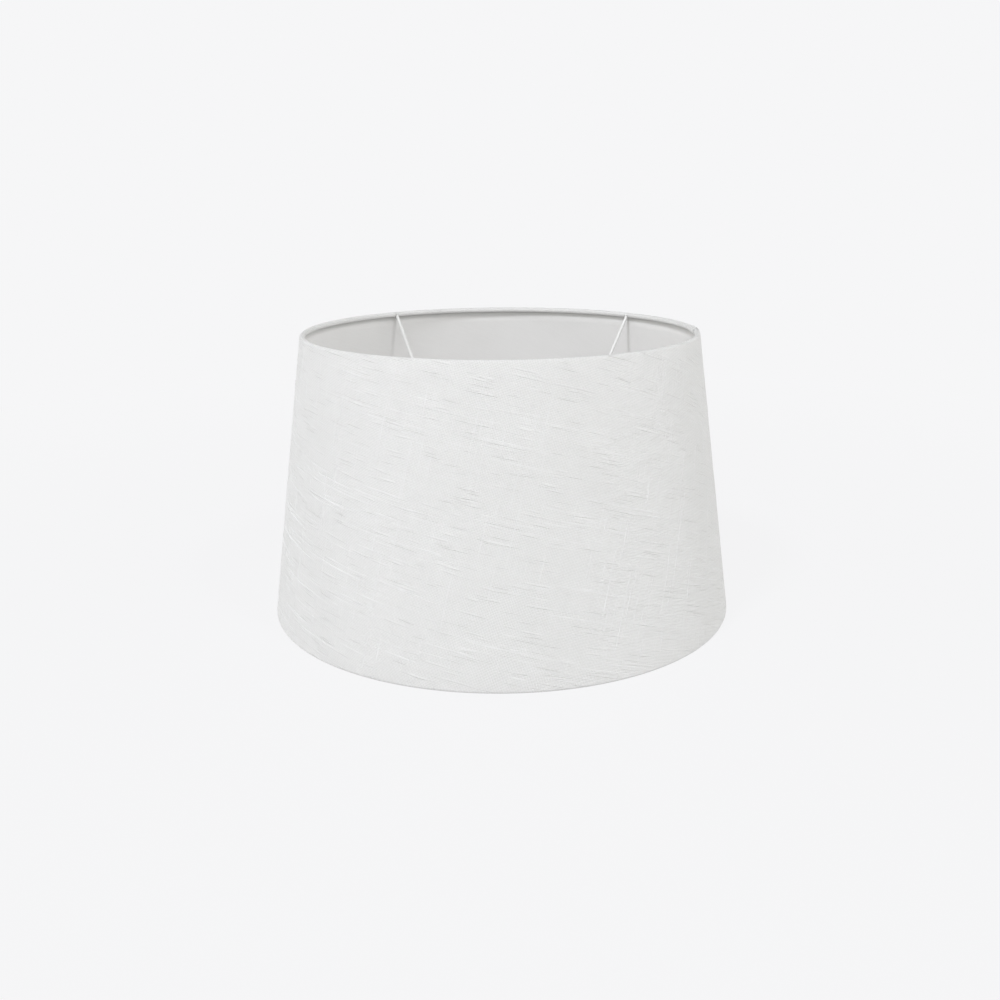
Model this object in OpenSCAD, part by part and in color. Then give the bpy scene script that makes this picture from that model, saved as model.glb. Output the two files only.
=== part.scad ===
// Tapered lamp shade. Cloth on a stiff liner is rolled over two wire rings. Four bent arms drop
// from the top ring to a pressed fitter ring, and a loose reducer ring sits in its bore.
// Millimetres. The origin is the middle of the bottom edge, +Z is up and the lap seam faces +X.

/* [Shade] */
// Outside diameter at the bottom edge
bottom_d = 300; // [240:5:400]
// Outside diameter at the top edge
top_d = 250; // [180:5:320]
// Height from the table to the top edge
height = 180; // [130:5:260]
// Thickness of the cloth
cloth_t = 0.45; // [0.3:0.05:0.8]
// Thickness of the stiff liner behind the cloth
liner_t = 0.3; // [0.2:0.05:0.6]

/* [Seam and hems] */
// Width of the lap where the cloth's two ends meet
lap_w = 12; // [9:1:24]
// Width of the adhesive strip inside the lap
seam_tape_w = 8; // [4:1:8]
// Thickness of the adhesive strips
tape_t = 0.1; // [0.05:0.05:0.2]
// Part of the ring wire's round that its adhesive strip covers, in degrees
hem_tape_wrap = 200; // [90:10:220]
// How far the lap's adhesive strip is pressed into the cloth under it
seam_press = 0.02; // [0.01:0.01:0.04]
// How far the rolled hem stands out past the wall
hem_proud = 0.05; // [0.03:0.01:0.15]
// How far the bottom hem is pressed flat where it stands on the table
foot_press = 0.1; // [0.05:0.05:0.2]

/* [Wire frame] */
// Diameter of the wire of the two rings
ring_wire_d = 2.2; // [1.6:0.1:4]
// Diameter of the wire of the arms
arm_wire_d = 2.2; // [1.6:0.1:3]
// Where each arm leaves the top ring, in degrees anticlockwise from +X
arm_angles = [43, 127, 215, 313]; // [0:1:359]
// Slope of an arm's upper leg below the horizontal
arm_slope = 57; // [45:1:75]
// Drop from the top ring to the level part of the arms
arm_drop = 45; // [25:1:80]
// Radius of the arms' elbow along the middle of the wire
arm_bend_r = 8; // [4:1:15]
// Gap round an arm where it comes out through the hem
arm_gap = 0.2; // [0.1:0.05:0.5]

/* [Fitter ring] */
// Bore of the fitter ring
fitter_bore_d = 42; // [34:0.5:60]
// Width of the fitter ring from its bore to its outside
fitter_w = 5; // [4:0.5:9]
// Thickness of its pressed sheet
fitter_t = 1.2; // [0.8:0.1:1.6]
// Height of its turned-down rim
rim_h = 5.2; // [4.5:0.1:10]

/* [Reducer ring] */
// Bore of the reducer ring
reducer_bore_d = 29; // [26:0.5:31]
// How far its flange reaches past the fitter's bore
reducer_lip = 3; // [2:0.5:4]
// Thickness of its flange
reducer_flange_t = 1.6; // [1.2:0.1:3]
// Depth of its two collars below the flange
collar_h = 3.6; // [2:0.1:8]
// Wall of the two collars
collar_wall = 1.4; // [1:0.1:1.4]
// Radial gap between the outer collar and the fitter's bore
reducer_gap = 0.08; // [0.03:0.01:0.1]
// Number of finger notches in the flange's edge
notch_count = 3; // [2:1:6]
// Radius of a finger notch
notch_r = 3.5; // [2:0.5:5]
// Depth of a finger notch
notch_depth = 1.6; // [1:0.1:1.8]

/* [Hidden] */
$fn = 96;

// The wall leans in by lean degrees. A point of it is given by the height of its outer face and
// by its depth behind that face.
lean = atan((bottom_d - top_d) / 2 / height);
function wall_r(z) = bottom_d / 2 - z * tan(lean);
function in_wall(z, depth) = [wall_r(z) - depth * cos(lean), z - depth * sin(lean)];

// The rolled hem, round the ring wire and its adhesive strip
hem_hole_r = ring_wire_d / 2 + tape_t;
hem_r = hem_hole_r + cloth_t;
wire_depth = hem_r - hem_proud;
top_wire_z = height - hem_r;
bottom_wire_z = hem_r - foot_press;
function wire_r(z) = wall_r(z) - wire_depth / cos(lean);
top_wire = [wire_r(top_wire_z), top_wire_z];
bottom_wire = [wire_r(bottom_wire_z), bottom_wire_z];

// Heights on the outer face level with the two wires, and where the liner stops short of them
foot_z = bottom_wire_z + wire_depth * sin(lean);
head_z = top_wire_z + wire_depth * sin(lean);
liner_foot_z = foot_z + hem_r * cos(lean);
liner_head_z = head_z - hem_r * cos(lean);

// The lap spans lap_w halfway up, and its adhesive strip reaches its free edge
lap_t = cloth_t + tape_t;
degrees_per_mm = 360 / (PI * (bottom_d + top_d) / 2);
lap_angle = lap_w * degrees_per_mm;
seam_tape_angle = seam_tape_w * degrees_per_mm;

// An arm: upper leg, elbow and level bar
ring_wire_r = ring_wire_d / 2;
arm_r = arm_wire_d / 2;
bar_z = top_wire_z - arm_drop;
elbow_tangent = arm_bend_r * tan(arm_slope / 2);
corner_r = top_wire[0] - arm_drop / tan(arm_slope);
elbow_r = corner_r - elbow_tangent;
leg_length = arm_drop / sin(arm_slope) - elbow_tangent - ring_wire_r;
leg_tilt = -90 - arm_slope;
// The ball that joins an arm's straight leg to its elbow stands this far out of the wire
joint_proud = 0.05;
joint_ball_r = arm_r + joint_proud;

// Fitter and reducer
fitter_bore_r = fitter_bore_d / 2;
fitter_outer_r = fitter_bore_r + fitter_w;
fitter_top_z = bar_z + (rim_h + fitter_t) / 2;
reducer_bore_r = reducer_bore_d / 2;
reducer_flange_r = fitter_bore_r + reducer_lip;
collar_outer_r = fitter_bore_r - reducer_gap;
cut_margin = 1;

// A strip of the wall between two depths and two heights, as a section
module wall_strip(outer_depth, inner_depth, low_z, high_z) {
    polygon([
        in_wall(low_z, outer_depth), in_wall(high_z, outer_depth),
        in_wall(high_z, inner_depth), in_wall(low_z, inner_depth)
    ]);
}

// Discs of one radius on the two ring wires, as a section
module at_wires(radius) {
    translate(top_wire) circle(r = radius);
    translate(bottom_wire) circle(r = radius);
}

// The table under the shade, as a section
module below_table() {
    translate([0, -hem_r - cut_margin]) square([bottom_d, hem_r + cut_margin]);
}

// The cloth's section: the wall, and its edges rolled round the wires
module cloth_section() {
    difference() {
        union() {
            wall_strip(0, cloth_t, foot_z, head_z);
            at_wires(hem_r);
        }
        at_wires(hem_hole_r);
        below_table();
    }
}

// What the lap adds outside the cloth. It reaches into the middle of the cloth below it.
module lap_section() {
    difference() {
        union() {
            wall_strip(-lap_t, cloth_t / 2, foot_z, head_z);
            at_wires(hem_r + lap_t);
        }
        at_wires(hem_hole_r + cloth_t / 2);
        below_table();
    }
}

// The adhesive strip between the lap and the cloth, open at the lap's free edge towards -Y. past
// carries it on beyond that edge, in degrees.
module seam_strip(past) {
    rotate([0, 0, -lap_angle / 2 - past])
        rotate_extrude(angle = seam_tape_angle + past)
            wall_strip(-tape_t, seam_press, liner_foot_z, liner_head_z);
}

// The hole that an arm leaves through, from inside the hem's roll
module arm_hole(angle) {
    start = ring_wire_r / 2;
    rotate([0, 0, angle])
        translate([top_wire[0], 0, top_wire_z])
            rotate([0, leg_tilt, 0])
                translate([0, 0, start]) cylinder(h = 3 * hem_r, r = arm_r + arm_gap);
}

module cover_cloth() {
    color([0.93, 0.93, 0.92]) difference() {
        union() {
            rotate_extrude() cloth_section();
            rotate([0, 0, -lap_angle / 2]) rotate_extrude(angle = lap_angle) lap_section();
        }
        seam_strip(seam_tape_angle);
        for (angle = arm_angles) arm_hole(angle);
    }
}

module liner_sheet() {
    color([0.9, 0.9, 0.9])
        rotate_extrude() wall_strip(cloth_t, cloth_t + liner_t, liner_foot_z, liner_head_z);
}

module seam_tape() {
    color([0.85, 0.85, 0.8]) seam_strip(0);
}

// An adhesive strip on the outer side of a ring wire. facing is the middle of its wrap, in
// degrees above the outward direction.
module hem_tape(wire, facing) {
    reach = 2 * hem_hole_r;
    half_gap = (360 - hem_tape_wrap) / 2;
    color([0.85, 0.85, 0.8]) rotate_extrude() translate(wire) difference() {
        circle(r = hem_hole_r);
        circle(r = ring_wire_r);
        rotate(facing + 180)
            polygon([
                [0, 0], reach * [cos(half_gap), -sin(half_gap)], [reach, -reach], [reach, reach],
                reach * [cos(half_gap), sin(half_gap)]
            ]);
    }
}

module top_hem_tape() {
    hem_tape(top_wire, arm_slope);
}

module bottom_hem_tape() {
    hem_tape(bottom_wire, -45);
}

module wire_ring(wire) {
    color([0.95, 0.95, 0.95]) rotate_extrude() translate(wire) circle(r = ring_wire_r);
}

module top_ring() {
    wire_ring(top_wire);
}

module bottom_ring() {
    wire_ring(bottom_wire);
}

module spider_arm(angle) {
    color([0.95, 0.95, 0.95]) rotate([0, 0, angle]) {
        translate([top_wire[0], 0, top_wire_z]) rotate([0, leg_tilt, 0]) {
            translate([0, 0, ring_wire_r]) cylinder(h = leg_length, r = arm_r);
            translate([0, 0, ring_wire_r + leg_length]) sphere(r = joint_ball_r);
        }
        translate([elbow_r, 0, bar_z + arm_bend_r])
            rotate([90, 0, 0]) rotate([0, 0, -90])
                rotate_extrude(angle = arm_slope) translate([arm_bend_r, 0]) circle(r = arm_r);
        difference() {
            translate([0, 0, bar_z]) rotate([0, 90, 0]) cylinder(h = elbow_r, r = arm_r);
            cylinder(h = height, r = fitter_outer_r);
        }
    }
}

module spider_arm_1() {
    spider_arm(arm_angles[0]);
}

module spider_arm_2() {
    spider_arm(arm_angles[1]);
}

module spider_arm_3() {
    spider_arm(arm_angles[2]);
}

module spider_arm_4() {
    spider_arm(arm_angles[3]);
}

// Pressed sheet: a flat flange round the bore and a rim turned down at its outside
module fitter_ring() {
    bend_r = fitter_outer_r - fitter_t;
    color([0.95, 0.95, 0.95]) translate([0, 0, fitter_top_z]) rotate_extrude() {
        translate([fitter_bore_r, -fitter_t]) square([fitter_w - fitter_t, fitter_t]);
        translate([bend_r, -rim_h]) square([fitter_t, rim_h - fitter_t]);
        intersection() {
            translate([bend_r, -fitter_t]) circle(r = fitter_t);
            translate([bend_r, -fitter_t]) square(fitter_t);
        }
    }
}

// Flange with two collars: the outer one drops into the fitter's bore, the inner one is the bore
module reducer_ring() {
    color([0.96, 0.96, 0.95]) translate([0, 0, fitter_top_z]) difference() {
        rotate_extrude() {
            translate([reducer_bore_r, 0])
                square([reducer_flange_r - reducer_bore_r, reducer_flange_t]);
            translate([reducer_bore_r, -collar_h]) square([collar_wall, collar_h]);
            translate([collar_outer_r - collar_wall, -collar_h]) square([collar_wall, collar_h]);
        }
        for (i = [0 : notch_count - 1])
            rotate([0, 0, i * 360 / notch_count])
                translate([reducer_flange_r + notch_r - notch_depth, 0, -cut_margin])
                    cylinder(h = reducer_flange_t + 2 * cut_margin, r = notch_r);
    }
}

cover_cloth();
liner_sheet();
seam_tape();
top_hem_tape();
bottom_hem_tape();
top_ring();
bottom_ring();
spider_arm_1();
spider_arm_2();
spider_arm_3();
spider_arm_4();
fitter_ring();
reducer_ring();
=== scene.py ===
"""A tapered lamp shade: slub cloth on a stiff liner, rolled over two wire rings, with a wire carrier.

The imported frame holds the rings, the arms, the fitter, the reducer and the adhesive strips. This
script makes the cloth, its slubs, the liner and the welds round them, finishes every surface and
sets the studio.
"""
import math

import bmesh
import bpy
from bpy.props import (
    FloatProperty,
    FloatVectorProperty,
    IntProperty,
    PointerProperty,
)
from mathutils import Matrix, Vector


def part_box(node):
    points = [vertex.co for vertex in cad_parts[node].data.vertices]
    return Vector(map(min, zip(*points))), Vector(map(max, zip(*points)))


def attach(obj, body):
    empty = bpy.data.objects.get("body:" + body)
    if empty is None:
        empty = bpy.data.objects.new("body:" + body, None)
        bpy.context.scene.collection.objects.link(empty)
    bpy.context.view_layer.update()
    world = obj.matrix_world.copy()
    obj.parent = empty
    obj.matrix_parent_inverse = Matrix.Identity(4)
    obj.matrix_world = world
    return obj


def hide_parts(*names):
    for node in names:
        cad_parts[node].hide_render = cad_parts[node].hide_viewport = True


bl_info = {
    "name": "Tapered Lamp Shade",
    "version": (1, 0, 0),
    "blender": (4, 5, 0),
    "location": "View3D > Sidebar > Lamp Shade",
    "description": "Makes the cloth, liner, welds and finishes of a tapered lamp shade",
    "category": "Object",
}

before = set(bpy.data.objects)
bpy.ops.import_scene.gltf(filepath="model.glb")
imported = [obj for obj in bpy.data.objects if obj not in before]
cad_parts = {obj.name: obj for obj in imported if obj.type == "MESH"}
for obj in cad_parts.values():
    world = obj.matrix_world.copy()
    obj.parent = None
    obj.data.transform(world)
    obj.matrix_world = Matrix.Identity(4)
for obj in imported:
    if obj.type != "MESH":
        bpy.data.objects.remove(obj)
bpy.context.view_layer.update()

MM = 0.001
TURN = 2 * math.pi
SHADE = "shade"
ARMS = [f"spider_arm_{i}" for i in range(1, 5)]


# ---------------------------------------------------------------------------------------------
# Sizes that the frame gives
# ---------------------------------------------------------------------------------------------


def ring_circle(node):
    """(radius of the circle that a wire ring's middle runs on, its height, the wire's radius)."""
    low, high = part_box(node)
    wire_r = (high.z - low.z) / 2
    return high.y - wire_r, (low.z + high.z) / 2, wire_r


def turn_of(node):
    """The direction that a node lies in from the axis, from -TURN to 0 about +Z."""
    places = [v.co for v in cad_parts[node].data.vertices]
    middle = sum(places, Vector()) / len(places)
    return math.atan2(middle.y, middle.x) % TURN - TURN


TOP_R, TOP_Z, WIRE_R = ring_circle("top_ring")
BOTTOM_R, BOTTOM_Z, _ = ring_circle("bottom_ring")
ARM_TURNS = [turn_of(arm) for arm in ARMS]
# The wall leans in by LEAN, and is WALL_LENGTH long between its two rolls
LEAN = math.atan2(BOTTOM_R - TOP_R, TOP_Z - BOTTOM_Z)
WALL_LENGTH = math.hypot(BOTTOM_R - TOP_R, TOP_Z - BOTTOM_Z)
# Radius of a ring wire with its adhesive strip, which the cloth is rolled round
WRAPPED_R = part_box("bottom_hem_tape")[1].y - BOTTOM_R
# The seam's adhesive strip gives the lap's free edge, which is as far from +X as its other edge
SEAM_LOW, SEAM_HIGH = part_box("seam_tape")
LAP_TURN = -2 * math.atan2(SEAM_LOW.y, SEAM_HIGH.x)
STRIP_T = WRAPPED_R - WIRE_R
# How far the liner stays from both ends of the wall
LINER_MARGIN = (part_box("liner_sheet")[0].z - BOTTOM_Z) / math.cos(LEAN)


# Width of each high light, and radius of the glow inside the shade
LIGHT_SIZE = 0.5
GLOW_SIZE = 0.03


# ---------------------------------------------------------------------------------------------
# Settings
# ---------------------------------------------------------------------------------------------


def a_number(name, description, default):
    """A plain number, with no unit."""
    return FloatProperty(name=name, description=description, default=default)


def a_count(name, description, default, least=0):
    """A whole number that can't be below least."""
    return IntProperty(name=name, description=description, default=default, min=least)


def a_length(name, description, default):
    """A length in metres."""
    return FloatProperty(name=name, description=description, default=default, unit="LENGTH")


def an_angle(name, description, degrees):
    """An angle, given here in degrees."""
    turned = math.radians(degrees)
    return FloatProperty(name=name, description=description, default=turned, unit="ROTATION")


def a_colour(name, description, default):
    """A colour, as linear red, green and blue."""
    return FloatVectorProperty(
        name=name, description=description, default=default, size=3, subtype="COLOR"
    )


def a_place(name, description, default):
    """A place in metres."""
    return FloatVectorProperty(
        name=name, description=description, default=default, size=3, subtype="TRANSLATION"
    )


class ShadeCloth(bpy.types.PropertyGroup):
    """The cloth and the liner behind it."""

    thickness: a_length("Cloth thickness", "Thickness of the woven cloth", 0.45 * MM)
    liner_thickness: a_length(
        "Liner thickness", "Thickness of the stiff sheet behind the cloth", 0.3 * MM
    )
    grain: an_angle(
        "Grain", "Direction of the weft on the flat cut, above the line across its middle", -13.15
    )
    warp_pitch: a_length("Warp pitch", "Distance between two warp threads", 0.84 * MM)
    weft_pitch: a_length("Weft pitch", "Distance between two weft threads", 0.83 * MM)
    weave_height: a_length("Weave height", "How far a thread stands above the gap beside it", 0.14 * MM)
    top_roll: an_angle("Top roll", "How far round the top wire the cloth is rolled", 288)
    bottom_roll: an_angle("Bottom roll", "How far round the bottom wire the cloth is rolled", 288)
    slit_width: a_length(
        "Slit width", "Width of the slit in the top roll that an arm comes out through", 2.3 * MM
    )
    slit_start: an_angle("Slit start", "How far round the top roll each slit starts", 186)
    lap_ramp: a_length("Lap ramp", "Length over which the outer end climbs onto the inner one", 16 * MM)
    unevenness: a_length("Unevenness", "How far the wall wanders from a true cone", 0.12 * MM)
    columns: a_count("Columns", "Faces round the cloth", 1000, 100)
    colour: a_colour("Cloth colour", "Colour of the threads", (0.845, 0.845, 0.84))
    liner_colour: a_colour("Liner colour", "Colour of the stiff sheet", (0.75, 0.746, 0.742))


class ShadeSlubs(bpy.types.PropertyGroup):
    """The thick places in the threads."""

    weft_count: a_count("Weft slubs", "Number of slubs along the weft", 560)
    warp_count: a_count("Warp slubs", "Number of slubs along the warp", 420)
    together: a_count("Slubs together", "Number of weft slubs in a group that lies side by side", 4, 1)
    warp_together: a_count("Warp slubs together", "Number of warp slubs in a group", 2, 1)
    warp_share: a_number(
        "Warp thickness", "Thickness of the warp slubs as a share of the weft slubs'", 0.8
    )
    spacing: a_length("Spacing", "Usual distance between two slubs of a group", 3.0 * MM)
    shortest: a_length("Shortest", "Length of the shortest slub", 18 * MM)
    longest: a_length("Longest", "Length of the longest slub", 72 * MM)
    thinnest: a_length("Thinnest", "Radius of the thinnest slub", 0.12 * MM)
    thickest: a_length("Thickest", "Radius of the thickest slub", 0.27 * MM)
    seed: a_count("Seed", "Chooses where the slubs lie", 7)


class ShadeMetal(bpy.types.PropertyGroup):
    """The painted wire, the fitter, the reducer and the welds."""

    paint: a_colour("Paint", "Colour of the paint on the wires and the fitter", (0.74, 0.74, 0.732))
    plastic: a_colour("Reducer plastic", "Colour of the reducer ring", (0.82, 0.82, 0.8))
    adhesive: a_colour("Adhesive", "Colour of the adhesive strips", (0.72, 0.69, 0.58))
    weld_radius: a_length("Weld radius", "Radius of a weld bead", 1.3 * MM)
    weld_lumpiness: a_number(
        "Weld lumpiness", "How far a weld bead is from round, as a share of its radius", 0.35
    )


class ShadeStudio(bpy.types.PropertyGroup):
    """The camera, the floor and the lights."""

    camera_distance: a_length(
        "Camera distance", "Distance of the camera in front of the shade's axis", 0.6896
    )
    camera_height: a_length("Camera height", "Height of the camera above the floor", 0.2699)
    camera_pitch: an_angle("Camera pitch", "How far the camera looks down", 16.39)
    camera_roll: an_angle("Camera roll", "How far the camera is turned about its line of sight", -0.417)
    lens: a_number("Lens", "Focal length on a sensor 36 mm wide, in millimetres", 39.02)
    shift: a_number("Shift", "Sideways shift of the lens, in picture widths", -0.001)
    surround: a_colour(
        "Surround",
        "Colour of the floor and the backdrop as they should look",
        (0.9216, 0.9216, 0.9301),
    )
    floor_share: a_number(
        "Floor shading", "Share of the floor's brightness that takes shadows, near the shade", 0.06
    )
    floor_light: a_number(
        "Light on the floor",
        "How much light falls on the floor. Its matt colour is divided by this",
        1.16,
    )
    sky: a_number("Sky", "Strength of the even light at the horizon. It fades to none overhead", 1.0)
    sides: a_number("Sides", "How much stronger the even light is from the left and the right", 0.6)
    sky_colour: a_colour("Sky colour", "Colour of the even light", (1.0, 1.0, 0.975))
    key_colour: a_colour(
        "Key colour", "Colour of the soft light above the front left", (0.94, 0.955, 1.0)
    )
    key_power: a_number("Key power", "Power of the light high on the front left, in watts", 46)
    key_place: a_place("Key place", "Where the key light is", (-1.2, -1.5, 2.65))
    fill_power: a_number("Fill power", "Power of the light high on the front right, in watts", 22)
    fill_place: a_place("Fill place", "Where the fill light is", (1.4, -1.35, 2.65))
    glow_power: a_number(
        "Glow power",
        "Power of the daylight that comes through the cloth into the shade, in watts",
        0.06,
    )


# ---------------------------------------------------------------------------------------------
# Building node trees
# ---------------------------------------------------------------------------------------------


class Num:
    """A number in a node tree. Using it in an expression adds the Math nodes for it."""

    def __init__(self, tree, socket):
        self.tree = tree
        self.socket = socket

    def does(self, operation, *others):
        return self.tree.math(operation, self, *others)

    def __add__(self, other):
        return self.does("ADD", other)

    __radd__ = __add__

    def __sub__(self, other):
        return self.does("SUBTRACT", other)

    def __rsub__(self, other):
        return self.tree.math("SUBTRACT", other, self)

    def __mul__(self, other):
        return self.does("MULTIPLY", other)

    __rmul__ = __mul__

    def __truediv__(self, other):
        return self.does("DIVIDE", other)

    def __rtruediv__(self, other):
        return self.tree.math("DIVIDE", other, self)

    def __pow__(self, other):
        return self.does("POWER", other)

    def __neg__(self):
        return self.does("MULTIPLY", -1.0)

    def __lt__(self, other):
        return self.does("LESS_THAN", other)

    def __gt__(self, other):
        return self.does("GREATER_THAN", other)

    def __abs__(self):
        return self.does("ABSOLUTE")

    def floor(self):
        return self.does("FLOOR")

    def sin(self):
        return self.does("SINE")

    def cos(self):
        return self.does("COSINE")

    def at_least(self, other):
        return self.does("MAXIMUM", other)

    def at_most(self, other):
        return self.does("MINIMUM", other)


class Tree:
    """A node tree, with one method that adds any node."""

    def __init__(self, nodes_and_links):
        self.made = nodes_and_links

    def add(self, kind, settings=None, values=None):
        """A new node of that type.

        settings are its own values, and are set first. values go to its sockets by name or number,
        each a plain value, a socket or a Num.
        """
        node = self.made.nodes.new(kind)
        for name, value in (settings or {}).items():
            setattr(node, name, value)
        for name, value in (values or {}).items():
            self.give(self.socket_in(node, name), value)
        return node

    def out(self, kind, settings=None, values=None):
        """The first output of a new node."""
        return self.add(kind, settings, values).outputs[0]

    def socket_in(self, node, name):
        """The input with that number, or the enabled one with that name."""
        if isinstance(name, int):
            return node.inputs[name]
        return next(s for s in node.inputs if s.name == name and s.enabled)

    def give(self, socket, value):
        """Links a socket or a Num to the input, or sets a plain value."""
        if isinstance(value, Num):
            value = value.socket
        if isinstance(value, bpy.types.NodeSocket):
            self.made.links.new(value, socket)
        else:
            socket.default_value = value

    def num(self, node, output=0):
        return Num(self, node.outputs[output])

    def math(self, operation, *numbers):
        values = dict(enumerate(numbers))
        return self.num(self.add("ShaderNodeMath", {"operation": operation}, values))

    def rise(self, number, low, high):
        """0 below low and 1 above high, with a smooth rise between them. low may be the higher."""
        return self.num(
            self.add(
                "ShaderNodeMapRange",
                {"interpolation_type": "SMOOTHSTEP"},
                {"Value": number, "From Min": low, "From Max": high},
            )
        )

    def vector(self, x=0.0, y=0.0, z=0.0):
        """A vector of three numbers."""
        return self.out("ShaderNodeCombineXYZ", None, {0: x, 1: y, 2: z})

    def parts(self, vector):
        """A vector's x, y and z."""
        node = self.add("ShaderNodeSeparateXYZ", None, {0: vector})
        return [self.num(node, i) for i in range(3)]

    def noise(self, vector, scale, detail=2.0, roughness=0.5):
        """Smooth noise from 0 to 1, with scale swells in each unit of the vector."""
        return self.num(
            self.add(
                "ShaderNodeTexNoise",
                {"noise_dimensions": "3D"},
                {"Vector": vector, "Scale": scale, "Detail": detail, "Roughness": roughness},
            )
        )


# ---------------------------------------------------------------------------------------------
# The cloth's shape, as Geometry Nodes
# ---------------------------------------------------------------------------------------------


def new_geometry_tree(name, inputs):
    """A geometry tree with named inputs, and each input as a Num or a socket by name."""
    group = bpy.data.node_groups.new(name, "GeometryNodeTree")
    kinds = {
        float: "NodeSocketFloat",
        int: "NodeSocketInt",
        bpy.types.Material: "NodeSocketMaterial",
        bpy.types.Mesh: "NodeSocketGeometry",
    }
    for label, kind in inputs.items():
        group.interface.new_socket(name=label, in_out="INPUT", socket_type=kinds[kind])
    group.interface.new_socket(name="Geometry", in_out="OUTPUT", socket_type="NodeSocketGeometry")
    tree = Tree(group)
    source = tree.add("NodeGroupInput")
    given = {label: Num(tree, source.outputs[label]) for label in inputs}
    return tree, given


def end_geometry_tree(tree, geometry, material):
    """Realizes, smooths and finishes the geometry, and makes it the tree's result."""
    whole = tree.out("GeometryNodeRealizeInstances", None, {"Geometry": geometry})
    smooth = tree.out("GeometryNodeSetShadeSmooth", None, {"Geometry": whole})
    values = {"Geometry": smooth, "Material": material}
    finished = tree.out("GeometryNodeSetMaterial", None, values)
    tree.add("NodeGroupOutput", None, {"Geometry": finished})


def grow(name, tree, values, start=None):
    """The tree's result as a plain mesh object. start is the mesh that it works on, if it needs one."""
    mesh = start or bpy.data.meshes.new(name + "_start")
    piece = bpy.data.objects.new(name, mesh)
    bpy.context.scene.collection.objects.link(piece)
    modifier = piece.modifiers.new(name, "NODES")
    modifier.node_group = tree.made
    for item in tree.made.interface.items_tree:
        if item.item_type == "SOCKET" and item.in_out == "INPUT" and item.name in values:
            modifier[item.identifier] = values[item.name]
    depsgraph = bpy.context.evaluated_depsgraph_get()
    depsgraph.update()
    result = bpy.data.meshes.new_from_object(
        piece.evaluated_get(depsgraph), preserve_all_data_layers=True, depsgraph=depsgraph
    )
    piece.modifiers.remove(modifier)
    piece.data = result
    result.name = name
    bpy.data.meshes.remove(mesh)
    return piece


# Swells of the wall in a metre. The unevenness is their height
BULGES = 22.0
# How often the cloth's free edges wander, in swells a radian, and how far, in radians of the roll
EDGE_WAVES = 18.0
EDGE_WANDER = 0.3
# Where a slit's rounded corner ends, as a share of half its width
SLIT_BLEND = 1.3
# Rows of faces over each roll, up the wall between them, and up the liner
ROLL_ROWS = 14
WALL_ROWS = 16
LINER_ROWS = 24
# How far the warp slubs' seed is from the weft slubs'
WARP_SEED_STEP = 50
# Points along a slub, and sides round it
SLUB_POINTS = 18
SLUB_SIDES = 6

SECTION_INPUTS = {
    "Lean": float,
    "Wall Length": float,
    "Roll Radius": float,
    "Foot Radius": float,
    "Foot Height": float,
    "Lap Turn": float,
    "Lap Lift": float,
    "Liner Lift": float,
    "Lap Ramp": float,
    "Unevenness": float,
}


def section_values(cloth, depth=0.0):
    """What SECTION_INPUTS hold for a face that lies depth behind the cloth's own."""
    roll = WRAPPED_R + cloth.thickness
    return {
        "Lean": LEAN,
        "Wall Length": WALL_LENGTH,
        "Roll Radius": roll - depth,
        "Foot Radius": BOTTOM_R + (roll - depth) * math.cos(LEAN),
        "Foot Height": BOTTOM_Z + (roll - depth) * math.sin(LEAN),
        "Lap Turn": LAP_TURN,
        "Lap Lift": cloth.thickness + STRIP_T,
        "Liner Lift": cloth.liner_thickness,
        "Lap Ramp": cloth.lap_ramp / BOTTOM_R,
        "Unevenness": cloth.unevenness,
    }


def lap_lift(tree, given, along, turn):
    """How far out the outer end stands, which climbs onto the inner end at the seam.

    On the wall the liner is between the two as well.
    """
    full = given["Lap Turn"] * 0.5 - TURN
    past_foot = tree.rise(along, 0.0, LINER_MARGIN)
    below_top = tree.rise(given["Wall Length"] - along, 0.0, LINER_MARGIN)
    on_liner = past_foot * below_top
    lift = given["Lap Lift"] + given["Liner Lift"] * on_liner
    return lift * tree.rise(turn, full + given["Lap Ramp"], full)


def section_point(tree, given, along, turn, out):
    """The point that lies along the section from the wall's foot, at that turn, out from its face.

    Below 0 and above the wall's length the section follows the two rolls.
    """
    lean, roll, length = given["Lean"], given["Roll Radius"], given["Wall Length"]
    on_wall = along.at_least(0.0).at_most(length)
    over_top = (along - length).at_least(0.0) / roll
    under_foot = (-along).at_least(0.0) / roll
    around = tree.vector(turn.cos() * BOTTOM_R, turn.sin() * BOTTOM_R, on_wall)
    off_rings = (on_wall / length * math.pi).sin()
    bulge = (tree.noise(around, BULGES) - 0.5) * given["Unevenness"] * off_rings * 2.0
    reach = roll + out + bulge + lap_lift(tree, given, along, turn)
    outward = reach * (over_top + under_foot).cos() - roll
    upward = on_wall + reach * (over_top.sin() - under_foot.sin())
    radius = given["Foot Radius"] + outward * lean.cos() - upward * lean.sin()
    height = given["Foot Height"] + outward * lean.sin() + upward * lean.cos()
    return tree.vector(radius * turn.cos(), radius * turn.sin(), height.at_least(0.0))


def flat_place(tree, given, along, turn):
    """Where that point lies on the flat cut: x across, from the middle of the front, and y up."""
    spread = given["Foot Radius"] / given["Lean"].sin() - along
    swing = (turn + TURN / 4) * given["Lean"].sin()
    return spread * swing.sin(), -(spread * swing.cos())


def keep_flat(tree, geometry, x, y):
    """Stores the place on the flat cut as the UV map flat."""
    return tree.out(
        "GeometryNodeStoreNamedAttribute",
        {"data_type": "FLOAT2", "domain": "CORNER"},
        {"Geometry": geometry, "Name": "flat", "Value": tree.vector(x, y)},
    )


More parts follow.
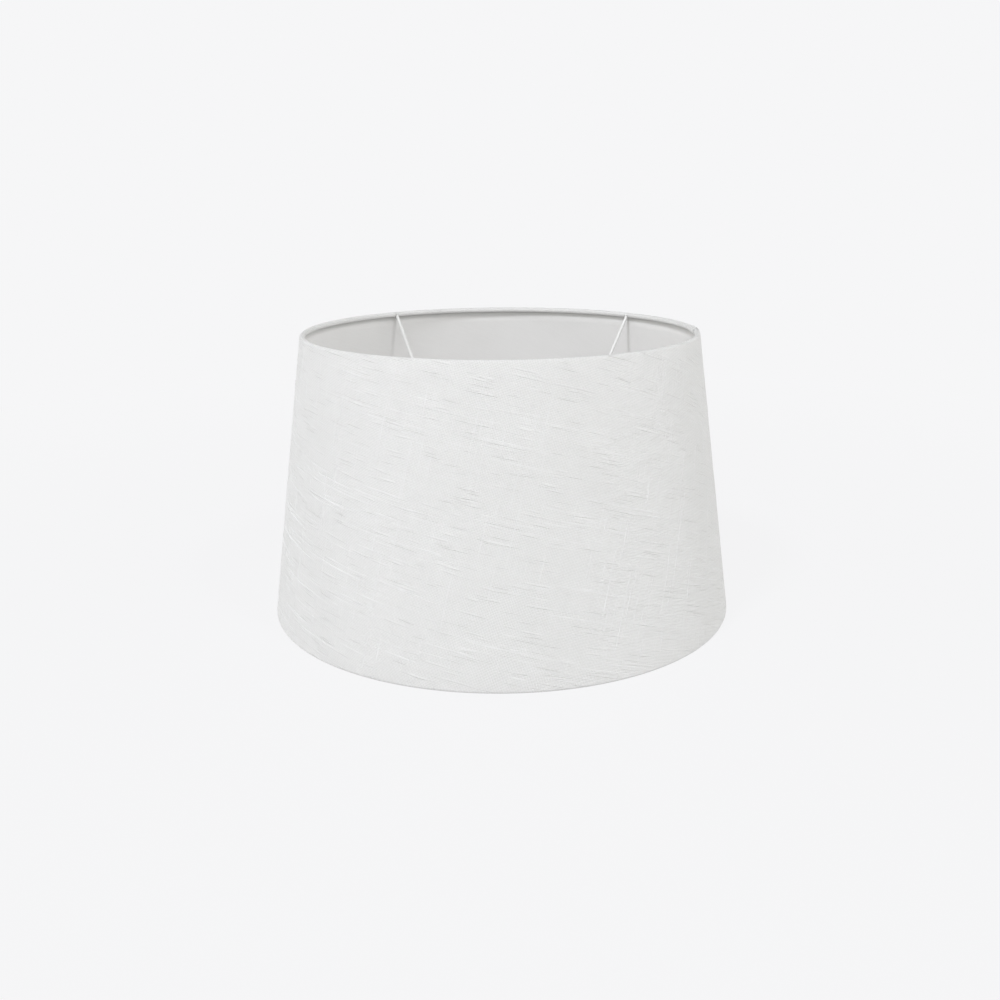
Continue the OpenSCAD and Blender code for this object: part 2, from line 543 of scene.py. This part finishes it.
def sheet_grid(tree, given):
    """A grid for a sheet that laps itself: its geometry, each point's share of the way up, and turn."""
    grid = tree.out(
        "GeometryNodeMeshGrid",
        None,
        {"Size X": 1.0, "Size Y": 1.0, "Vertices X": given["Columns"], "Vertices Y": given["Rows"]},
    )
    half_lap = given["Lap Turn"] * 0.5
    first_turn, last_turn = -TURN - half_lap, half_lap
    x, y, _ = tree.parts(tree.out("GeometryNodeInputPosition"))
    turn = first_turn + (x + 0.5) * (last_turn - first_turn)
    return grid, y + 0.5, turn


def end_sheet(tree, given, grid, along, turn):
    """Lays the grid on the section, keeps its place on the flat cut, and ends the tree."""
    x, y = flat_place(tree, given, along, turn)
    kept = keep_flat(tree, grid, x, y)
    place = section_point(tree, given, along, turn, 0.0)
    shaped = tree.out("GeometryNodeSetPosition", None, {"Geometry": kept, "Position": place})
    end_geometry_tree(tree, shaped, given["Material"])
    return tree


def cover_tree():
    """The cloth's outer face: the wall, and the rolls at both ends with a slit at each arm."""
    tree, given = new_geometry_tree(
        "lamp_shade_cover",
        SECTION_INPUTS
        | {"Top Roll": float, "Bottom Roll": float, "Slit Width": float, "Slit Start": float}
        | {"Columns": int, "Rows": int, "Roll Share": float}
        | {f"Arm {i}": float for i in range(1, 5)}
        | {"Material": bpy.types.Material},
    )
    grid, up, turn = sheet_grid(tree, given)
    share, slit_start = given["Roll Share"], given["Slit Start"]
    # The two free edges, inside the rolls, were cut by hand and wander
    wander = (tree.noise(tree.vector(turn), EDGE_WAVES) - 0.5) * EDGE_WANDER
    top_radius = given["Foot Radius"] - given["Wall Length"] * given["Lean"].sin()
    half = given["Slit Width"] * 0.5
    closed = 1.0
    for i in range(1, 5):
        away = abs(turn - given[f"Arm {i}"]) * top_radius
        closed = tree.rise(away, half, half * SLIT_BLEND) * closed
    top_roll = slit_start + (given["Top Roll"] - slit_start + wander) * closed
    bottom_roll = given["Bottom Roll"] + wander
    top = (up - (1.0 - share)).at_least(0.0) / share * top_roll * given["Roll Radius"]
    bottom = (share - up).at_least(0.0) / share * bottom_roll * given["Roll Radius"]
    middle = ((up - share) / (1.0 - 2.0 * share)).at_least(0.0).at_most(1.0)
    along = middle * given["Wall Length"] + top - bottom
    return end_sheet(tree, given, grid, along, turn)


def liner_tree():
    """The liner's outer face, which stops short of both rolls."""
    tree, given = new_geometry_tree(
        "lamp_shade_liner",
        SECTION_INPUTS
        | {"Margin": float, "Columns": int, "Rows": int}
        | {"Material": bpy.types.Material},
    )
    grid, up, turn = sheet_grid(tree, given)
    along = given["Margin"] + up * (given["Wall Length"] - given["Margin"] * 2.0)
    return end_sheet(tree, given, grid, along, turn)


def slub_tree():
    """Slubs as tapered threads that lie in the cloth's face, in groups that run side by side."""
    tree, given = new_geometry_tree(
        "lamp_shade_slubs",
        SECTION_INPUTS
        | {"Direction": float, "Count": int, "Together": int, "Spacing": float}
        | {"Steps": int, "Seed": int}
        | {"Shortest": float, "Longest": float, "Thinnest": float, "Thickest": float}
        | {"Material": bpy.types.Material},
    )
    steps, together, seed = given["Steps"], given["Together"], given["Seed"]
    index = tree.num(tree.add("GeometryNodeInputIndex"))
    thread = (index / steps).floor()
    share = (index - thread * steps) / (steps - 1)
    group = (thread / together).floor()
    member = thread - group * together

    def chance(ident, salt):
        node = tree.add(
            "FunctionNodeRandomValue",
            {"data_type": "FLOAT"},
            {2: 0.0, 3: 1.0, "ID": ident, "Seed": seed + salt},
        )
        return tree.num(node, 1)

    half_lap = given["Lap Turn"] * 0.5
    middle_turn = -half_lap - TURN * chance(group, 1)
    middle_along = given["Wall Length"] * chance(group, 2)
    middle_x, middle_y = flat_place(tree, given, middle_along, middle_turn)
    # Short slubs are a little more common than long ones, and thin ones much more than thick ones
    long = given["Shortest"] + (given["Longest"] - given["Shortest"]) * chance(thread, 3) ** 1.2
    thick = given["Thinnest"] + (given["Thickest"] - given["Thinnest"]) * chance(thread, 4) ** 2.2
    beside = chance(thread, 5) - 0.5 + member - (together - 1) * 0.5
    # In a few of the groups the threads lie much further apart, up to four times
    aside = beside * given["Spacing"] * (1.0 + chance(group, 9) ** 3.0 * 3.0)
    ahead = (chance(thread, 6) - 0.5) * given["Longest"] * 1.4
    bends, sway_by = 9.0, 0.12 * MM
    sway = (share * bends + chance(thread, 7) * TURN).sin() * sway_by
    run = ahead + (share - 0.5) * long
    cos, sin = given["Direction"].cos(), given["Direction"].sin()
    x = middle_x + run * cos - (aside + sway) * sin
    y = middle_y + run * sin + (aside + sway) * cos
    spread = (x * x + y * y) ** 0.5
    along = given["Foot Radius"] / given["Lean"].sin() - spread
    turn = tree.math("ARCTAN2", x, -y) / given["Lean"].sin() - TURN / 4
    fade = 4.0 * MM
    # 1 on the wall, falling to 0 at the two rolls and past the cloth's ends
    inside = (
        tree.rise(along, 0.0, fade)
        * tree.rise(along, given["Wall Length"], given["Wall Length"] - fade)
        * (turn < -half_lap)
        * (turn > -TURN - half_lap)
    )
    taper = (share * math.pi).sin().at_least(0.0) ** 0.7
    lumps_a_metre, apart = 260.0, 90.0
    lump_place = tree.vector(run * lumps_a_metre, chance(thread, 8) * apart)
    lumps = 0.8 + 0.4 * tree.noise(lump_place, 1.0)
    thick = thick * taper * lumps * inside
    # The thread's middle is sunk a little under the cloth's face
    place = section_point(tree, given, along, turn, thick * -0.1)

    points = tree.out("GeometryNodePoints", None, {"Count": given["Count"] * steps, "Radius": 0.0})
    # The thread's number has to be kept too, because points outside the wall are taken away
    for name, kind, value in (
        ("thread_x", "FLOAT", x),
        ("thread_y", "FLOAT", y),
        ("thread_r", "FLOAT", thick),
        ("thread", "INT", thread),
        ("outside", "FLOAT", inside < 0.001),
    ):
        values = {"Geometry": points, "Name": name, "Value": value}
        points = tree.out("GeometryNodeStoreNamedAttribute", {"data_type": kind}, values)
    placed = tree.out("GeometryNodeSetPosition", None, {"Geometry": points, "Position": place})

    def stored(name):
        kind = "GeometryNodeInputNamedAttribute"
        return tree.num(tree.add(kind, {"data_type": "FLOAT"}, {"Name": name}))

    values = {"Geometry": placed, "Selection": stored("outside") > 0.5}
    left = tree.out("GeometryNodeDeleteGeometry", None, values)
    lines = tree.out("GeometryNodePointsToCurves", None, {0: left, 1: stored("thread")})

    values = {"Resolution": SLUB_SIDES, "Radius": 1.0}
    ring = tree.out("GeometryNodeCurvePrimitiveCircle", None, values)
    values = {"Curve": lines, "Profile Curve": ring, "Scale": stored("thread_r"), "Fill Caps": True}
    tubes = tree.out("GeometryNodeCurveToMesh", None, values)
    kept = keep_flat(tree, tubes, stored("thread_x"), stored("thread_y"))
    # A tube's first and last rings have no width, so each merges to a point
    values = {"Geometry": kept, "Distance": 0.002 * MM}
    merged = tree.out("GeometryNodeMergeByDistance", None, values)
    end_geometry_tree(tree, merged, given["Material"])
    return tree


def weld_tree():
    """A lumpy bead on each place that it is given."""
    tree, given = new_geometry_tree(
        "lamp_shade_welds",
        {"Places": bpy.types.Mesh, "Radius": float, "Lumpiness": float}
        | {"Material": bpy.types.Material},
    )
    ball = tree.out("GeometryNodeMeshIcoSphere", None, {"Radius": 1.0, "Subdivisions": 4})
    values = {"Points": given["Places"], "Instance": ball, "Scale": given["Radius"]}
    beads = tree.out("GeometryNodeInstanceOnPoints", None, values)
    real = tree.out("GeometryNodeRealizeInstances", None, {"Geometry": beads})
    place = tree.out("GeometryNodeInputPosition")
    normal = tree.out("GeometryNodeInputNormal")
    lumps_a_metre = 700.0
    swell = (tree.noise(place, lumps_a_metre) - 0.5) * given["Lumpiness"] * given["Radius"]
    push = tree.out("ShaderNodeVectorMath", {"operation": "SCALE"}, {0: normal, "Scale": swell})
    lumpy = tree.out("GeometryNodeSetPosition", None, {"Geometry": real, "Offset": push})
    end_geometry_tree(tree, lumpy, given["Material"])
    return tree


# ---------------------------------------------------------------------------------------------
# Finishes
# ---------------------------------------------------------------------------------------------


def new_finish(name, constants):
    """A material with one Principled shader, its constants set, and its tree and shader."""
    material = bpy.data.materials.new(name)
    material.use_nodes = True
    material.node_tree.nodes.clear()
    tree = Tree(material.node_tree)
    shader = tree.add("ShaderNodeBsdfPrincipled", None, constants)
    tree.add("ShaderNodeOutputMaterial", None, {"Surface": shader.outputs[0]})
    return material, tree, shader


def tint(tree, colour, darkest, light, hue):
    """The colour where light is 1, and darkest times hue times it where light is 0."""
    dark = [c * darkest * h for c, h in zip(colour, hue, strict=True)]
    node = tree.add(
        "ShaderNodeMix",
        {"data_type": "RGBA"},
        {0: light, 6: (*dark, 1.0), 7: (*colour, 1.0)},
    )
    return node.outputs[2]


def surface(tree, shader, colour, roughness, height, distance):
    """Gives the shader its colour and roughness, and a bump of that height times distance."""
    bump = tree.add("ShaderNodeBump", None, {"Distance": distance, "Height": height})
    tree.give(shader.inputs["Base Color"], colour)
    tree.give(shader.inputs["Roughness"], roughness)
    tree.give(shader.inputs["Normal"], bump.outputs[0])


def streaks(tree, x, y, layer, low, high):
    """1 where a noise is above high and 0 where it is below low. layer chooses the noise."""
    return tree.rise(tree.noise(tree.vector(x, y, layer), 1.0, 1.0), low, high)


def object_place(tree):
    """Where a point lies on its own piece."""
    return tree.add("ShaderNodeTexCoord").outputs["Object"]


def flat_map(tree):
    """Where a point lies on the flat cut of its sheet."""
    return tree.out("ShaderNodeUVMap", {"uv_map": "flat"})


def cloth_finish(cloth):
    """Plain-woven slub cloth, woven on its own flat cut."""
    material, tree, shader = new_finish(
        "slub_cloth_weave",
        {"Sheen Weight": 0.08, "Sheen Roughness": 0.5, "Specular IOR Level": 0.15},
    )
    flat = flat_map(tree)
    x, y, _ = tree.parts(flat)
    cos, sin = math.cos(cloth.grain), math.sin(cloth.grain)
    # The threads wander by up to half of this to each side
    drift = 1.4 * MM
    along = x * cos + y * sin + (tree.noise(flat, 60.0, 3.0) - 0.5) * drift
    across = y * cos - x * sin + (tree.noise(flat, 50.0, 3.0) - 0.5) * drift
    warp_place = along / cloth.warp_pitch
    weft_place = across / cloth.weft_pitch
    warp_wave = (warp_place * math.pi).sin()
    weft_wave = (weft_place * math.pi).sin()
    # Each thread is thick in some places and thin in others, unlike the thread beside it
    swells, apart = 60.0, 7.3
    weft_body_place = tree.vector(along * swells, weft_place.floor() * apart, 1.0)
    warp_body_place = tree.vector(warp_place.floor() * apart, across * swells, 9.0)
    weft_body = tree.noise(weft_body_place, 1.0, 1.0)
    warp_body = tree.noise(warp_body_place, 1.0, 1.0)
    crossing = warp_wave * weft_wave
    weft_top = abs(weft_wave) * (0.45 + weft_body * 1.1) + crossing
    warp_top = abs(warp_wave) * (0.45 + warp_body * 1.1) - crossing
    threads = weft_top.at_least(warp_top)
    # Fine slubs, too thin to be separate threads, each with its shaded side below it
    fine, shade_below = 900.0, 0.45 * MM
    weft_run = along * 42.0
    weft_streak = streaks(tree, weft_run, across * fine, 4.0, 0.6, 0.74)
    below = streaks(tree, weft_run, (across + shade_below) * fine, 4.0, 0.6, 0.74)
    under_streak = below * (1.0 - weft_streak)
    warp_streak = streaks(tree, along * fine, across * 34.0, 6.0, 0.64, 0.78)
    fuzz = tree.noise(flat, 5200.0, 2.0)
    height = threads + weft_streak * 1.2 + warp_streak * 0.7 + fuzz * 0.25
    patches = tree.noise(flat, 24.0, 3.0)
    # Painted shade: faces that point down, under the rolls and the slubs, are darker
    _, _, upward = tree.parts(tree.add("ShaderNodeNewGeometry").outputs["Normal"])
    painted_underside_shade = 0.55 + 0.45 * tree.rise(upward, -0.7, 0.1)
    light = painted_underside_shade * (
        0.26
        # Painted shade: the gaps between the threads are darker than the thread tops
        + tree.rise(threads, 0.1, 1.5) * 0.6
        + weft_streak * 0.22
        - under_streak * 0.3
        + warp_streak * 0.14
        + patches * 0.1
        + fuzz * 0.1
    )
    light = light.at_least(0.0).at_most(1.0)
    colour = tint(tree, cloth.colour, 0.68, light, (1.0, 0.995, 0.985))
    roughness = 0.9 - threads * 0.05 - weft_streak * 0.12
    surface(tree, shader, colour, roughness, height, cloth.weave_height)
    return material


def liner_finish(cloth):
    """Stiff matt film, with the weave behind it just showing through as a faint grain."""
    material, tree, shader = new_finish("liner_film_matt", {"Specular IOR Level": 0.4})
    flat = flat_map(tree)
    clouds = tree.noise(flat, 30.0, 4.0, 0.6)
    grain = tree.noise(flat, 1150.0, 3.0, 0.7)
    x, y, _ = tree.parts(flat)
    ribs = tree.noise(tree.vector(x * 55.0, y * 700.0), 1.0, 2.0)
    light = clouds * 0.5 + ribs * 0.3 + grain * 0.6 - 0.2
    colour = tint(tree, cloth.liner_colour, 0.86, light, (1.0, 0.998, 0.99))
    roughness = 0.44 + clouds * 0.16 + grain * 0.08
    surface(tree, shader, colour, roughness, grain * 0.6 + ribs * 0.8, 0.03 * MM)
    return material


def paint_finish(name, paint, roughness, peel):
    """Satin paint over metal, with duller, slightly darker patches. Its orange peel is peel deep."""
    material, tree, shader = new_finish(name, {"Coat Roughness": 0.2, "Coat IOR": 1.45})
    place = object_place(tree)
    skin = tree.noise(place, 1400.0, 2.0)
    dips = tree.noise(place, 420.0, 3.0, 0.6)
    patches = tree.noise(place, 60.0, 4.0, 0.6)
    specks = tree.rise(tree.noise(place, 950.0, 1.0), 0.7, 0.76)
    light = 0.75 + patches * 0.5 - specks * 0.5
    colour = tint(tree, paint, 0.86, light.at_most(1.0), (1.0, 0.995, 0.97))
    rough = roughness + (patches - 0.5) * 0.25 + specks * 0.2
    tree.give(shader.inputs["Coat Weight"], 0.25 + patches * 0.2)
    surface(tree, shader, colour, rough, skin * 0.35 + dips, peel)
    return material


def plastic_finish(plastic):
    """Moulded gloss plastic: a very fine grain, faint flow marks and handling wear."""
    material, tree, shader = new_finish("reducer_moulded_plastic", {"IOR": 1.49})
    place = object_place(tree)
    x, y, z = tree.parts(place)
    flow = tree.noise(tree.vector(x * 160.0, y * 160.0, z * 900.0), 1.0, 3.0, 0.6)
    grain = tree.noise(place, 4200.0, 1.0)
    wear = tree.rise(tree.noise(place, 260.0, 5.0, 0.7), 0.52, 0.7)
    colour = tint(tree, plastic, 0.9, 0.55 + flow * 0.9 - wear * 0.25, (1.0, 0.995, 0.98))
    roughness = 0.24 + flow * 0.1 + wear * 0.22
    surface(tree, shader, colour, roughness, grain * 0.4 + flow, 0.03 * MM)
    return material


def adhesive_finish(adhesive):
    """A faintly yellow adhesive strip with drag marks and small bubbles."""
    material, tree, shader = new_finish("adhesive_strip", {"IOR": 1.48})
    place = object_place(tree)
    x, y, z = tree.parts(place)
    drag = tree.noise(tree.vector(x * 90.0, y * 90.0, z * 1900.0), 1.0, 3.0)
    bubbles = tree.rise(tree.noise(place, 1500.0, 1.0), 0.66, 0.74)
    colour = tint(tree, adhesive, 0.78, 0.3 + drag * 0.9 + bubbles * 0.3, (1.0, 0.97, 0.88))
    surface(tree, shader, colour, 0.28 + drag * 0.25, drag - bubbles * 0.5, 0.05 * MM)
    return material


def refinish(material, *nodes):
    """Gives CAD nodes a better material in their own slots."""
    for name in nodes:
        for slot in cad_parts[name].material_slots:
            slot.material = material


# ---------------------------------------------------------------------------------------------
# Finishing a piece
# ---------------------------------------------------------------------------------------------


def drop_loose(piece):
    """Takes away points and edges that no face uses, and closes any hole that is left."""
    work = bmesh.new()
    work.from_mesh(piece.data)
    bmesh.ops.delete(work, geom=[e for e in work.edges if not e.link_faces], context="EDGES")
    bmesh.ops.delete(work, geom=[v for v in work.verts if not v.link_faces], context="VERTS")
    bmesh.ops.holes_fill(work, edges=[e for e in work.edges if e.is_boundary], sides=0)
    work.to_mesh(piece.data)
    work.free()


def face_outwards(piece):
    """Turns the faces of an open sheet round if those on the wall face the axis."""
    middle = max(piece.data.polygons, key=lambda face: face.area)
    if middle.normal.dot(middle.center * Vector((1, 1, 0))) < 0:
        piece.data.flip_normals()


def thicken(piece, thickness):
    """Gives a sheet its thickness, inwards from its face, and closes its edges."""
    wall = piece.modifiers.new("Thickness", "SOLIDIFY")
    wall.thickness = thickness
    wall.offset = -1
    wall.use_rim = True
    wall.use_even_offset = False


def settle(piece, body):
    """Puts the piece on its body."""
    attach(piece, body)
    return piece


# ---------------------------------------------------------------------------------------------
# Pieces
# ---------------------------------------------------------------------------------------------


class LAMP_SHADE_OT_cover(bpy.types.Operator):
    """Makes the cloth: one sheet, lapped at the seam and rolled over both ring wires"""

    bl_idname = "lamp_shade.cover"
    bl_label = "Cloth"

    def execute(self, context):
        cloth = context.scene.lamp_shade_cloth
        rows = ROLL_ROWS * 2 + WALL_ROWS
        values = section_values(cloth) | {
            "Top Roll": cloth.top_roll,
            "Bottom Roll": cloth.bottom_roll,
            "Slit Width": cloth.slit_width,
            "Slit Start": cloth.slit_start,
            "Columns": cloth.columns + 1,
            "Rows": rows + 1,
            "Roll Share": ROLL_ROWS / rows,
            "Material": cloth_finish(cloth),
        }
        values |= {f"Arm {i}": turn for i, turn in enumerate(ARM_TURNS, 1)}
        piece = grow("shade_cover", cover_tree(), values)
        face_outwards(piece)
        thicken(piece, cloth.thickness)
        settle(piece, SHADE)
        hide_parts("cover_cloth")
        return {"FINISHED"}


class LAMP_SHADE_OT_slubs(bpy.types.Operator):
    """Makes the slubs, the thick places in the weft and the warp"""

    bl_idname = "lamp_shade.slubs"
    bl_label = "Slubs"

    def execute(self, context):
        cloth = context.scene.lamp_shade_cloth
        slubs = context.scene.lamp_shade_slubs
        cover = bpy.data.objects["shade_cover"]
        shared = section_values(cloth) | {
            "Together": slubs.together,
            "Spacing": slubs.spacing,
            "Steps": SLUB_POINTS,
            "Shortest": slubs.shortest,
            "Longest": slubs.longest,
            "Thinnest": slubs.thinnest,
            "Thickest": slubs.thickest,
            "Material": cover.data.materials[0],
        }
        ways = {
            "weft_slubs": {
                "Direction": cloth.grain,
                "Count": slubs.weft_count,
                "Seed": slubs.seed,
            },
            "warp_slubs": {
                "Direction": cloth.grain + TURN / 4,
                "Count": slubs.warp_count,
                "Seed": slubs.seed + WARP_SEED_STEP,
                "Together": slubs.warp_together,
                "Thinnest": slubs.thinnest * slubs.warp_share,
                "Thickest": slubs.thickest * slubs.warp_share,
            },
        }
        made = []
        for name, own in ways.items():
            piece = grow(name, slub_tree(), shared | own)
            drop_loose(piece)
            made.append(settle(piece, SHADE))
        self.declare_cut(cover, cloth, made)
        return {"FINISHED"}

    def declare_cut(self, cover, cloth, with_pieces):
        """Works out the flat sheet the cloth is cut from, the developed cone with both rolls and the
        lap, and keeps none of it.
        """
        roll = WRAPPED_R + cloth.thickness
        sector = (TURN + LAP_TURN) * math.sin(LEAN)
        foot = (BOTTOM_R + roll * math.cos(LEAN)) / math.sin(LEAN)
        outer = foot + cloth.bottom_roll * roll
        inner = foot - WALL_LENGTH - cloth.top_roll * roll
        2 * outer * math.sin(sector / 2)
        outer - inner * math.cos(sector / 2)
        (outer**2 - inner**2) * sector / 2


class LAMP_SHADE_OT_liner(bpy.types.Operator):
    """Makes the stiff liner behind the cloth, lapped at the same seam"""

    bl_idname = "lamp_shade.liner"
    bl_label = "Liner"

    def execute(self, context):
        cloth = context.scene.lamp_shade_cloth
        values = section_values(cloth, cloth.thickness) | {
            "Margin": LINER_MARGIN,
            "Columns": cloth.columns // 2 + 1,
            "Rows": LINER_ROWS + 1,
            "Material": liner_finish(cloth),
        }
        piece = grow("shade_liner", liner_tree(), values)
        face_outwards(piece)
        thicken(piece, cloth.liner_thickness)
        settle(piece, SHADE)
        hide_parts("liner_sheet")
        return {"FINISHED"}


class LAMP_SHADE_OT_wire_frame(bpy.types.Operator):
    """Paints the rings and the arms, and makes the weld at each end of each arm"""

    bl_idname = "lamp_shade.wire_frame"
    bl_label = "Wire frame"

    def execute(self, context):
        metal = context.scene.lamp_shade_metal
        paint = paint_finish("wire_satin_paint", metal.paint, 0.42, 0.05 * MM)
        refinish(paint, "top_ring", "bottom_ring", *ARMS)
        # The beads sit under the top ring's inner side, and at the fitter's edge
        top_bead = (TOP_R - WIRE_R * 0.5, TOP_Z - WIRE_R * 0.6)
        fitter_bead = (
            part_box("fitter_ring")[1].y + WIRE_R * 0.2,
            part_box(ARMS[0])[0].z + WIRE_R,
        )
        places = [
            (radius * math.cos(turn), radius * math.sin(turn), height)
            for turn in ARM_TURNS
            for radius, height in (top_bead, fitter_bead)
        ]
        start = bpy.data.meshes.new("weld_places")
        start.from_pydata(places, [], [])
        values = {
            "Radius": metal.weld_radius,
            "Lumpiness": metal.weld_lumpiness,
            "Material": paint,
        }
        piece = grow("arm_welds", weld_tree(), values, start)
        settle(piece, SHADE)
        return {"FINISHED"}


class LAMP_SHADE_OT_fittings(bpy.types.Operator):
    """Finishes the fitter, the reducer that lifts out of it, and the adhesive strips"""

    bl_idname = "lamp_shade.fittings"
    bl_label = "Fitter, reducer and strips"

    def execute(self, context):
        metal = context.scene.lamp_shade_metal
        refinish(paint_finish("fitter_satin_paint", metal.paint, 0.38, 0.04 * MM), "fitter_ring")
        refinish(plastic_finish(metal.plastic), "reducer_ring")
        refinish(adhesive_finish(metal.adhesive), "seam_tape", "top_hem_tape", "bottom_hem_tape")
        return {"FINISHED"}


class LAMP_SHADE_OT_studio(bpy.types.Operator):
    """Makes the camera, the floor, the surround and the soft lights"""

    bl_idname = "lamp_shade.studio"
    bl_label = "Studio"

    def execute(self, context):
        studio = context.scene.lamp_shade_studio
        self.make_camera(context, studio)
        self.make_floor(context, studio)
        self.make_sky(context, studio)
        key = self.make_light(context, "key_light", studio.key_power, studio.key_place)
        key.color = studio.key_colour
        self.make_light(context, "fill_light", studio.fill_power, studio.fill_place)
        self.make_glow(context, studio)
        context.scene.view_settings.view_transform = "Standard"
        return {"FINISHED"}

    def make_camera(self, context, studio):
        """The camera, in front of the shade, a little above its top and looking down."""
        data = bpy.data.cameras.new("camera")
        data.lens = studio.lens
        data.shift_x = studio.shift
        camera = bpy.data.objects.new("camera", data)
        place = Matrix.Translation((0, -studio.camera_distance, studio.camera_height))
        pitch = Matrix.Rotation(TURN / 4 - studio.camera_pitch, 4, "X")
        camera.matrix_world = place @ pitch @ Matrix.Rotation(studio.camera_roll, 4, "Z")
        context.scene.collection.objects.link(camera)
        context.scene.camera = camera

    def make_floor(self, context, studio):
        """A pale floor that takes soft shadows near the shade and fades into the surround."""
        mesh = bpy.data.meshes.new("floor")
        # Far larger than the picture, and just under the shade's foot
        reach, low = 12.0, -0.05 * MM
        signs = ((-1, -1), (1, -1), (1, 1), (-1, 1))
        mesh.from_pydata([(x * reach, y * reach, low) for x, y in signs], [], [(0, 1, 2, 3)])
        floor = bpy.data.objects.new("floor", mesh)
        context.scene.collection.objects.link(floor)
        material = bpy.data.materials.new("pale_floor")
        material.use_nodes = True
        material.node_tree.nodes.clear()
        tree = Tree(material.node_tree)
        colour = {"Color": (*studio.surround, 1.0)}
        grey = [c / studio.floor_light for c in studio.surround]
        matt = tree.out("ShaderNodeBsdfDiffuse", None, {"Color": (*grey, 1.0)})
        glow = tree.out("ShaderNodeEmission", None, colour)
        x, y, _ = tree.parts(object_place(tree))
        away = (x * x + y * y) ** 0.5
        # The floor under the shade takes no light, because the glow inside would bleach it
        far, close, under = 0.9, 0.2, BOTTOM_R - 30 * MM
        near = tree.rise(away, far, close) * tree.rise(away, under, BOTTOM_R)
        grain = tree.noise(object_place(tree), 900.0, 2.0)
        share = near * studio.floor_share * (0.97 + grain * 0.06)
        both = tree.out("ShaderNodeMixShader", None, {0: share, 1: glow, 2: matt})
        tree.add("ShaderNodeOutputMaterial", None, {"Surface": both})
        mesh.materials.append(material)

    def make_sky(self, context, studio):
        """Even light from all round. The camera sees the surround's colour in its place."""
        world = bpy.data.worlds.new("surround")
        world.use_nodes = True
        world.node_tree.nodes.clear()
        tree = Tree(world.node_tree)
        sideways, _, up = tree.parts(tree.add("ShaderNodeTexCoord").outputs["Generated"])
        strength = (1.0 - up).at_most(1.0) * studio.sky + sideways * sideways * studio.sides
        white = {"Color": (*studio.sky_colour, 1.0), "Strength": strength}
        light = tree.out("ShaderNodeBackground", None, white)
        seen = tree.out("ShaderNodeBackground", None, {"Color": (*studio.surround, 1.0)})
        camera_sees = tree.add("ShaderNodeLightPath").outputs["Is Camera Ray"]
        mixed = tree.out("ShaderNodeMixShader", None, {0: camera_sees, 1: light, 2: seen})
        tree.add("ShaderNodeOutputWorld", None, {"Surface": mixed})
        context.scene.world = world

    def make_light(self, context, name, power, place):
        """A round soft light that points at the middle of the shade."""
        data = bpy.data.lights.new(name, "AREA")
        data.energy = power
        data.shape = "DISK"
        data.size = LIGHT_SIZE
        light = bpy.data.objects.new(name, data)
        aim = Vector((0, 0, TOP_Z / 2)) - Vector(place)
        turned = aim.to_track_quat("-Z", "Y").to_matrix().to_4x4()
        light.matrix_world = Matrix.Translation(place) @ turned
        context.scene.collection.objects.link(light)
        return data

    def make_glow(self, context, studio):
        """A weak light inside the shade, for the daylight that comes through the cloth."""
        data = bpy.data.lights.new("inside_glow", "POINT")
        data.energy = studio.glow_power
        data.shadow_soft_size = GLOW_SIZE
        glow = bpy.data.objects.new("inside_glow", data)
        glow.matrix_world = Matrix.Translation((0, 0, BOTTOM_R / 2))
        glow.visible_camera = False
        context.scene.collection.objects.link(glow)


# ---------------------------------------------------------------------------------------------
# Panel and running
# ---------------------------------------------------------------------------------------------


class LAMP_SHADE_PT_panel(bpy.types.Panel):
    """Lists what makes the lamp shade"""

    bl_idname = "LAMP_SHADE_PT_panel"
    bl_label = "Lamp Shade"
    bl_space_type = "VIEW_3D"
    bl_region_type = "UI"
    bl_category = "Lamp Shade"

    def draw(self, context):
        for operator in OPERATORS:
            self.layout.operator(operator.bl_idname)
        for name in SETTINGS:
            box = self.layout.box()
            group = getattr(context.scene, name)
            for field in group.bl_rna.properties.keys():
                if field not in ("rna_type", "name"):
                    box.prop(group, field)


SETTINGS = {
    "lamp_shade_cloth": ShadeCloth,
    "lamp_shade_slubs": ShadeSlubs,
    "lamp_shade_metal": ShadeMetal,
    "lamp_shade_studio": ShadeStudio,
}
# In the order that they run
OPERATORS = [
    LAMP_SHADE_OT_studio,
    LAMP_SHADE_OT_cover,
    LAMP_SHADE_OT_slubs,
    LAMP_SHADE_OT_liner,
    LAMP_SHADE_OT_wire_frame,
    LAMP_SHADE_OT_fittings,
]


def register():
    for made in (*SETTINGS.values(), *OPERATORS, LAMP_SHADE_PT_panel):
        bpy.utils.register_class(made)
    for name, group in SETTINGS.items():
        setattr(bpy.types.Scene, name, PointerProperty(type=group))


def unregister():
    for name in SETTINGS:
        delattr(bpy.types.Scene, name)
    for made in reversed((*SETTINGS.values(), *OPERATORS, LAMP_SHADE_PT_panel)):
        bpy.utils.unregister_class(made)


def main():
    register()
    for operator in OPERATORS:
        family, name = operator.bl_idname.split(".")
        getattr(getattr(bpy.ops, family), name)()
    bpy.context.view_layer.update()


if __name__ == "__main__":
    main()
